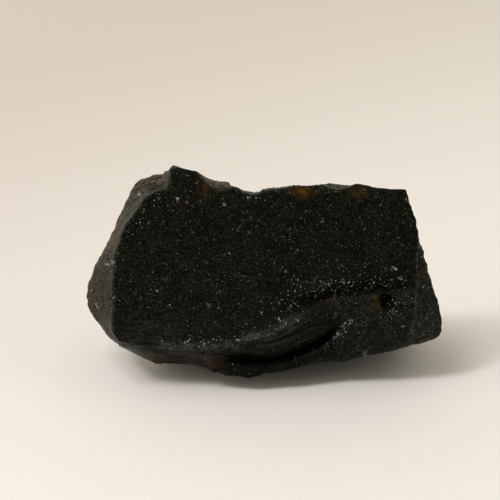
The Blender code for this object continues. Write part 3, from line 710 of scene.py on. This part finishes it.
class Value:
    """A shader socket that takes part in arithmetic: each operation adds a Math node."""

    def __init__(self, shader, socket):
        self.shader = shader
        self.socket = socket

    def math(self, operation, first, second):
        return self.shader.node("ShaderNodeMath", {"operation": operation}, {0: first, 1: second})

    def __add__(self, other):
        return self.math("ADD", self, other)

    def __sub__(self, other):
        return self.math("SUBTRACT", self, other)

    def __rsub__(self, other):
        return self.math("SUBTRACT", other, self)

    def __mul__(self, other):
        return self.math("MULTIPLY", self, other)

    __radd__, __rmul__ = __add__, __mul__


class Shader:
    """The node tree of a material or a world, to which nodes are added one call at a time."""

    def __init__(self, owner, last):
        owner.use_nodes = True
        self.tree = owner.node_tree
        self.surface = self.tree.nodes[last]

    def put(self, node, values):
        """Sets or links a node's inputs, each named or numbered."""
        for key, value in values.items():
            if isinstance(value, Value):
                self.tree.links.new(value.socket, node.inputs[key])
            else:
                node.inputs[key].default_value = value

    def node(self, kind, settings, values, out=0):
        """Adds a node, gives it its settings and then its inputs, and returns one of its outputs."""
        node = self.tree.nodes.new(kind)
        for key, value in settings.items():
            setattr(node, key, value)
        self.put(node, values)
        return Value(self, node.outputs[out])

    def place(self):
        """Object coordinates, in metres."""
        return self.node("ShaderNodeTexCoord", {}, {}, "Object")

    def mask(self, name):
        """A mask that the mesh carries."""
        return self.node("ShaderNodeAttribute", {"attribute_name": name}, {}, "Fac")

    def axis(self, name):
        """The X, Y or Z of the object coordinates."""
        return self.node("ShaderNodeSeparateXYZ", {}, {0: self.place()}, name)

    def noise(self, per_mm, detail, roughness, place=None):
        """Noise with the given number of waves in a millimetre."""
        values = {"Vector": place or self.place(), "Scale": per_mm / MM}
        return self.node("ShaderNodeTexNoise", {}, {**values, "Detail": detail, "Roughness": roughness})

    def rise(self, value, low, high):
        """0 below low, 1 above high and a smooth step between."""
        values = {"Value": value, "From Min": low, "From Max": high}
        return self.node("ShaderNodeMapRange", {"interpolation_type": "SMOOTHSTEP"}, values)

    def mix(self, share, first, second):
        """A colour between two, at a share that is held between 0 and 1."""
        return self.node("ShaderNodeMix", {"data_type": "RGBA"}, {0: share, 6: first, 7: second}, 2)

    def dots(self, per_mm, radius, share, hole=0.0):
        """Small dots or, with a hole, rings: one about the point of each Voronoi cell, each of its own
        random strength, and kept only in a share of the cells."""
        values = {"Vector": self.place(), "Scale": per_mm / MM}
        near = self.node("ShaderNodeTexVoronoi", {}, values, "Distance")
        cell = self.node("ShaderNodeTexVoronoi", {}, values, "Color")
        pick = self.node("ShaderNodeSeparateColor", {}, {0: cell}, 0)
        strength = self.node("ShaderNodeSeparateColor", {}, {0: cell}, 1)
        kept = self.rise(share - pick, 0.0, 0.02) * self.rise(near, radius, 0.4 * radius)
        if hole:
            kept = kept * self.rise(near, 0.4 * hole, hole)
        return kept * strength


def colour(values):
    """A colour property as red, green, blue and one."""
    return (values[0], values[1], values[2], 1.0)


def black_glass(glass):
    """Near-black natural glass with a frosted skin: fine grain, a film that greys the broken faces, worn
    satin with painted light on the lit facets, painted shade in the hollows, painted light where the glass
    is thin, and pale specks of crushed glass with painted glints that crowd as the masks say."""
    material = bpy.data.materials.new("black_glass")
    shader = Shader(material, "Principled BSDF")
    fine, grain = shader.noise(5.5, 2.0, 0.6), shader.noise(3.2, 2.0, 0.7)
    coarse, patches = shader.noise(1.3, 3.0, 0.6), shader.noise(0.3, 3.0, 0.6)
    rugged, deep, satin_and_painted_light, wear_and_highlight, sheen, sparkle = map(shader.mask, FRONT_MASKS)
    thin, amber, bruise, broken = map(shader.mask, ("thin", "amber", "bruise", "broken"))
    black, film, speck_and_glint, honey = map(colour, (glass.body, glass.film, glass.speck_and_glint, glass.amber))

    frost = 0.9 * (fine - 0.5) + (0.3 + 0.6 * rugged) * (coarse - 0.5) + 0.2 * (patches - 0.5)
    frost = shader.rise(0.5 * grain + 0.25 + frost + 0.06 * rugged, 0.42, 0.66)
    frost = frost * (1.0 - 0.7 * sheen) * (1.0 - 0.85 * sparkle)
    body = shader.mix(frost, black, film)
    body = shader.mix(0.3 * sheen + 0.4 * broken, body, film)
    worn = shader.rise(0.6 * grain + 0.4 * coarse + 0.5 * (fine - 0.5), 0.36, 0.64)
    # Painted shade: on rugged places the satin is broken by dark mottles that stand for shadows in the
    # crevices.
    worn = worn * (1.0 - 0.9 * rugged * shader.rise(coarse + 0.5 * (fine - 0.5), 0.50, 0.56))
    # Worn grey satin, with painted light on the lit facets.
    body = shader.mix(1.1 * satin_and_painted_light * worn, body, colour(glass.satin_and_painted_light))
    stain = shader.rise(coarse + 0.4 * (grain - 0.5), 0.56, 0.66)
    body = shader.mix(0.3 * satin_and_painted_light * stain, body, honey)
    flow = shader.node("ShaderNodeCombineXYZ", {}, {0: 0.15 * shader.axis("X"), 1: shader.mask("flow")})
    streaks = shader.noise(2.0, 2.0, 0.6, flow)
    body = shader.mix(0.05 * sheen * shader.rise(streaks, 0.46, 0.62), body, speck_and_glint)
    body = shader.mix(0.7 * sheen * shader.rise(streaks, 0.50, 0.36), body, black)
    # Painted light: where the glass is thin it is made brown, between amber and olive, as if light came
    # through it.
    brown = shader.mix(shader.rise(coarse, 0.42, 0.6), honey, colour(glass.olive))
    body = shader.mix(0.6 * shader.rise(thin + 0.3 * patches, 0.45, 0.9), body, brown)
    # Painted shade: the drop of the groove, the hollow, the bulge, the pit and the crevices are mixed to the
    # black of the glass.
    body = shader.mix(0.95 * deep, body, black)
    # Painted light: amber where light comes through the thin glass at the amber spots.
    body = shader.mix(amber * shader.rise(coarse, 0.25, 0.6), body, honey)

    # Pale specks: partly pale crushed glass, partly painted glints, light caught by the pits and chips of
    # the frosted skin; glints, dots and rings are mixed to one pale colour below.
    clusters = shader.rise(shader.noise(0.7, 3.0, 0.7), 0.47, 0.66)
    crowd = 0.35 * clusters + (0.2 + 0.5 * clusters) * sparkle + 0.1 * rugged + 0.3 * bruise + 0.4 * satin_and_painted_light
    crowd = crowd * (1.0 - 0.6 * broken) * (1.0 - 0.7 * sheen) - 0.1 * deep
    glints = shader.rise(grain + 0.5 * (fine - 0.5) + 0.14 * crowd, 0.69, 0.86)
    dots = shader.dots(3.5, 0.34, 0.6 * crowd) + shader.dots(0.8, 0.17, 0.05 - 0.04 * broken + 0.2 * crowd)
    dots = dots + shader.dots(2.3, 0.30, (0.15 + 0.4 * clusters) * sparkle)
    rings = shader.dots(1.0, 0.40, 0.3 * clusters, 0.26) * shader.rise(fine, 0.50, 0.62)
    crushed = 1.4 * (grain - 0.5) + 0.9 * (fine - 0.5) + 0.5 * (coarse - 0.5)
    chips = shader.rise(0.57 * bruise + 1.3 * crushed, 0.44, 0.78)
    # Pale worn edges with a painted highlight, most of all on the crest of the lip.
    rubbed_and_highlit = wear_and_highlight * shader.rise(0.5 * grain + 0.5 * coarse, 0.40, 0.58)
    glints = (0.6 + 0.2 * clusters + 0.3 * sparkle) * glints
    for share in (glints, (1.0 + 0.9 * sparkle) * dots, 0.8 * rings, 0.85 * chips, 0.12 * rubbed_and_highlit):
        body = shader.mix(share, body, speck_and_glint)

    rough = glass.roughness + 0.2 * (coarse - 0.5) - 0.12 * sheen - 0.14 * broken + 0.15 * bruise
    skin = (grain + 0.4 * fine + 0.5 * dots) * (1.0 - 0.5 * sheen + 0.8 * rugged) + 0.3 * sheen * streaks
    height = skin + 1.5 * coarse * (0.4 + rugged) * (1.0 - 0.6 * sheen)
    bump = shader.node("ShaderNodeBump", {}, {"Distance": glass.grain_height, "Height": height})
    values = {"Base Color": body, "Roughness": rough, "Specular IOR Level": glass.gloss, "Normal": bump}
    shader.put(shader.surface, values)
    return material


def floor_paper(stage):
    """Pale matt paper with a faint grain, and painted shade that makes it a little warmer and deeper in tone
    towards the far left, where the lamps' light falls off.
    """
    material = bpy.data.materials.new("floor_paper")
    shader = Shader(material, "Principled BSDF")
    share = shader.rise(shader.axis("Y") - FLOOR_SLANT * shader.axis("X"), *FLOOR_BLEND)
    paper = shader.mix(share, colour(stage.floor_near), colour(stage.floor_far_painted_shade))
    paper = shader.mix(FLOOR_GRAIN * shader.noise(2.5, 2.0, 0.7), paper, colour((0.0, 0.0, 0.0)))
    shader.put(shader.surface, {"Base Color": paper, "Roughness": 0.9, "Specular IOR Level": 0.0})
    return material


def toward(azimuth, elevation):
    """Unit vector to a compass angle, from the camera's side turning to the right, and a height angle."""
    across, up = np.radians(azimuth), np.radians(elevation)
    return Vector((np.sin(across) * np.cos(up), -np.cos(across) * np.cos(up), np.sin(up)))


def studio_air(stage):
    """The surroundings: an even dim light and broad low glows on the left, on the right and behind, each
    the square or, behind, the fourth power of how far a direction points its way."""
    world = bpy.data.worlds.new("studio_air")
    shader = Shader(world, "Background")
    direction = shader.node("ShaderNodeTexCoord", {}, {}, "Generated")

    def glow(azimuth, elevation):
        values = {0: direction, 1: toward(azimuth, elevation)}
        facing = shader.node("ShaderNodeVectorMath", {"operation": "DOT_PRODUCT"}, values, "Value")
        facing = shader.node("ShaderNodeMath", {"operation": "MAXIMUM"}, {0: facing, 1: 0.0})
        return facing * facing

    behind = glow(*BACK_GLOW)
    light = stage.air + stage.left_glow * glow(*LEFT_GLOW) + stage.right_glow * glow(*RIGHT_GLOW)
    light = light + stage.back_glow * behind * behind
    shader.put(shader.surface, {"Strength": light, "Color": colour(stage.air_tint)})
    return world


def add_light(name, place, size, power, tint):
    """A soft round lamp of the given width that faces the origin."""
    lamp = bpy.data.lights.new(name, "AREA")
    lamp.shape = "DISK"
    lamp.size = size
    lamp.energy = power
    lamp.color = tint
    holder = new_object(name, lamp)
    holder.location = place
    turn_to(holder, Vector())


def turn_to(holder, aim):
    """Turns a lamp or a camera so that its -Z axis runs to a point, with Y as far up as it can."""
    back = (holder.location - aim).normalized()
    holder.rotation_euler = back.to_track_quat("Z", "Y").to_euler()


def tone(name, description, default):
    """A colour that can be changed."""
    return bpy.props.FloatVectorProperty(
        name=name, description=description, subtype="COLOR", size=3, default=default, min=0.0, max=1.0)


def amount(name, description, default, least=0.0, **more):
    """A number that can be changed, and isn't under the least."""
    return bpy.props.FloatProperty(name=name, description=description, default=default, min=least, **more)


def length(name, description, default, least=0.0):
    """A length that can be changed, in metres."""
    return amount(name, description, default, least, precision=6, unit="LENGTH")


class StoneShape(bpy.types.PropertyGroup):
    cuts: bpy.props.IntVectorProperty(
        name="Cuts", description="Cuts of the grid along the face, up it and through the stone",
        size=3, default=(180, 112, 88), min=8, max=400)
    unevenness: length("Unevenness", "Height of the small lumps of the skin", 0.07 * MM)
    ripple_height: length("Ripple height", "Height of the ripples of the broken faces behind", 0.09 * MM)
    pit_count: bpy.props.IntProperty(
        name="Pits", description="Number of small bubble pits", default=220, min=0)
    pit_radius: length("Pit radius", "Radius of the widest bubble pit", 1.0 * MM)
    seed: bpy.props.IntProperty(name="Seed", description="Seed of the strewn pits and blows", default=4)


class GlassFinish(bpy.types.PropertyGroup):
    body: tone("Glass", "Colour of the thick glass", (0.0006, 0.0007, 0.0002))
    film: tone("Film", "Colour of the frosted film", (0.0126, 0.0147, 0.0085))
    # Worn satin colour, also used to paint the light on the lit left bevel and the facet beside the peak.
    satin_and_painted_light: tone("Haze", "Colour of the worn satin facets", (0.110, 0.097, 0.078))
    # Painted colours of light coming through thin glass.
    amber: tone("Amber", "Colour of thin glass", (0.075, 0.034, 0.003))
    olive: tone("Olive", "Second colour of thin glass", (0.02, 0.018, 0.006))
    # Pale crushed glass, also the colour of the painted glints.
    speck_and_glint: tone("Specks", "Colour of crushed glass", (0.35, 0.355, 0.32))
    roughness: amount("Roughness", "Roughness of the frosted skin", 0.42, subtype="FACTOR", max=1.0)
    grain_height: length("Grain height", "Height of the finest grain", 0.10 * MM)
    gloss: amount("Gloss", "Mirror light that the frosted skin keeps, 0.5 being all",
                  0.055, subtype="FACTOR", max=1.0)


class StageLook(bpy.types.PropertyGroup):
    floor_side: length("Floor side", "Side of the square floor", 3.0, 0.1)
    floor_near: tone("Near floor", "Colour of the floor near by", (0.89, 0.868, 0.868))
    # Painted shade: the floor is given this deeper, warmer colour far behind and to the left, where the
    # lamps' light falls off.
    floor_far_painted_shade: tone("Far floor", "Colour of the floor far behind", (0.69, 0.64, 0.62))
    lamp_tint: tone("Lamps", "Colour of both soft lamps", (1.0, 0.98, 0.97))
    air_tint: tone("Surroundings", "Colour of the surroundings", (1.0, 0.935, 0.775))
    key_power: amount("Key light", "Power of the soft lamp on the left", 2.27)
    top_power: amount("Top light", "Power of the broader soft lamp higher up", 1.5)
    air: amount("Air", "Brightness of the surroundings on all sides", 0.04)
    left_glow: amount("Left glow", "Brightness added low on the left", 1.9)
    right_glow: amount("Right glow", "Brightness added low on the right", 0.75)
    back_glow: amount("Back glow", "Brightness added low behind", 2.0)
    camera_distance: length("Camera distance", "From the camera to its aim", 0.7, 0.1)
    field: length("Field", "Width that the picture takes in at the aim", 77.47 * MM, 0.001)
    camera_height: bpy.props.FloatProperty(
        name="Camera height", description="Angle of the camera above the floor", subtype="ANGLE",
        default=float(FACE_LEAN))
    aim: bpy.props.FloatVectorProperty(
        name="Aim", description="Point in the middle of the picture", subtype="TRANSLATION", size=3,
        default=(-2.147 * MM, -2.834 * MM, 19.617 * MM))


class TEKTITE_OT_stone(bpy.types.Operator):
    """Builds the block of glass as one closed surface"""
    bl_idname = "tektite.stone"
    bl_label = "Build the stone"

    def execute(self, context):
        points, quads, masks = stone_surface(context.scene.tektite_shape)
        mesh = new_mesh("tektite_stone", points, quads, black_glass(context.scene.tektite_glass))
        for name, values in masks.items():
            layer = mesh.attributes.new(name, "FLOAT", "POINT")
            layer.data.foreach_set("value", values.astype(np.float32))
        stone = new_object("tektite_stone", mesh)
        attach(stone, BODY)
        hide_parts(NODE)
        return {"FINISHED"}


class TEKTITE_OT_stage(bpy.types.Operator):
    """Lays the floor and sets the lights and the camera"""
    bl_idname = "tektite.stage"
    bl_label = "Set the stage"

    def execute(self, context):
        stage = context.scene.tektite_stage
        corners = 0.5 * stage.floor_side * np.array([(-1, -1, 0), (1, -1, 0), (1, 1, 0), (-1, 1, 0)])
        mesh = new_mesh("floor", corners, np.array([[0, 1, 2, 3]]), floor_paper(stage))
        floor = new_object("floor", mesh)

        for (name, azimuth, elevation, width), power in zip(LAMPS, (stage.key_power, stage.top_power)):
            add_light(name, LAMP_DISTANCE * toward(azimuth, elevation), width, power, stage.lamp_tint)
        context.scene.world = studio_air(stage)

        lens = bpy.data.cameras.new("camera")
        lens.lens = lens.sensor_width * stage.camera_distance / stage.field
        camera = new_object("camera", lens)
        aim, back = Vector(stage.aim), toward(0.0, np.degrees(stage.camera_height))
        camera.location = aim + stage.camera_distance * back
        turn_to(camera, aim)
        context.scene.camera = camera
        context.scene.view_settings.view_transform = "Standard"
        return {"FINISHED"}


class TEKTITE_PT_panel(bpy.types.Panel):
    """Lists the sizes, the finish and the steps"""
    bl_idname = "TEKTITE_PT_panel"
    bl_label = "Tektite"
    bl_space_type = "VIEW_3D"
    bl_region_type = "UI"
    bl_category = "Tektite"

    def draw(self, context):
        for name, group in SETTINGS.items():
            box = self.layout.box()
            owner = getattr(context.scene, name)
            for key in group.__annotations__:
                box.prop(owner, key)
        self.layout.operator(TEKTITE_OT_stone.bl_idname)
        self.layout.operator(TEKTITE_OT_stage.bl_idname)


SETTINGS = {"tektite_shape": StoneShape, "tektite_glass": GlassFinish, "tektite_stage": StageLook}
CLASSES = (*SETTINGS.values(), TEKTITE_OT_stone, TEKTITE_OT_stage, TEKTITE_PT_panel)


def register():
    for owner in CLASSES:
        bpy.utils.register_class(owner)
    for name, group in SETTINGS.items():
        setattr(bpy.types.Scene, name, bpy.props.PointerProperty(type=group))


def unregister():
    for name in SETTINGS:
        delattr(bpy.types.Scene, name)
    for owner in reversed(CLASSES):
        bpy.utils.unregister_class(owner)


def main():
    register()
    bpy.ops.tektite.stone()
    bpy.ops.tektite.stage()


if __name__ == "__main__":
    main()
